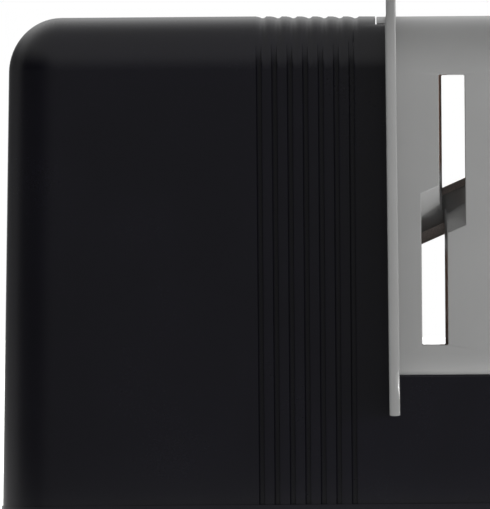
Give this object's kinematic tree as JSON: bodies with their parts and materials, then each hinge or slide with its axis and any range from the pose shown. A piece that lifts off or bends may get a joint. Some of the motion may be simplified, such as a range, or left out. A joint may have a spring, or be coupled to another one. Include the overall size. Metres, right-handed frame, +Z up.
{
  "type": "scissors sharpener",
  "caption": "Table-top scissors sharpener: ribbed black grip housing, grey finger guard and a grey head whose Z-shaped slot leads both blades along a tilted ceramic rod.",
  "frame": {"origin": "middle of the base on the table, under the rubber feet", "axes": "+X from the grip to the head, +Y from the front face to the back, +Z up"},
  "size_m": [0.0616, 0.037, 0.0615],
  "materials": {
    "black_plastic": "satin, finely textured",
    "grey_plastic": "satin",
    "rubber": "matte",
    "steel": "zinc plated",
    "ceramic": "fine unglazed"
  },
  "bodies": {
    "sharpener": {"housing": "black_plastic", "base_plate": "black_plastic", "foot_front_left": "rubber", "foot_front_right": "rubber", "foot_rear_left": "rubber", "foot_rear_right": "rubber", "base_screws": "steel", "finger_guard": "grey_plastic", "head_front": "grey_plastic", "head_rear": "grey_plastic", "head_clamp_screws": "steel", "head_mount_screws": "steel"},
    "rod": {"ceramic_rod": "ceramic"}
  },
  "joints": [
    {"name": "rod_spin", "type": "hinge", "parent": "sharpener", "child": "rod", "pos_m": [0.0185, 0, 0.03475], "axis": [0.9171, 0, 0.3987], "continuous": true}
  ]
}
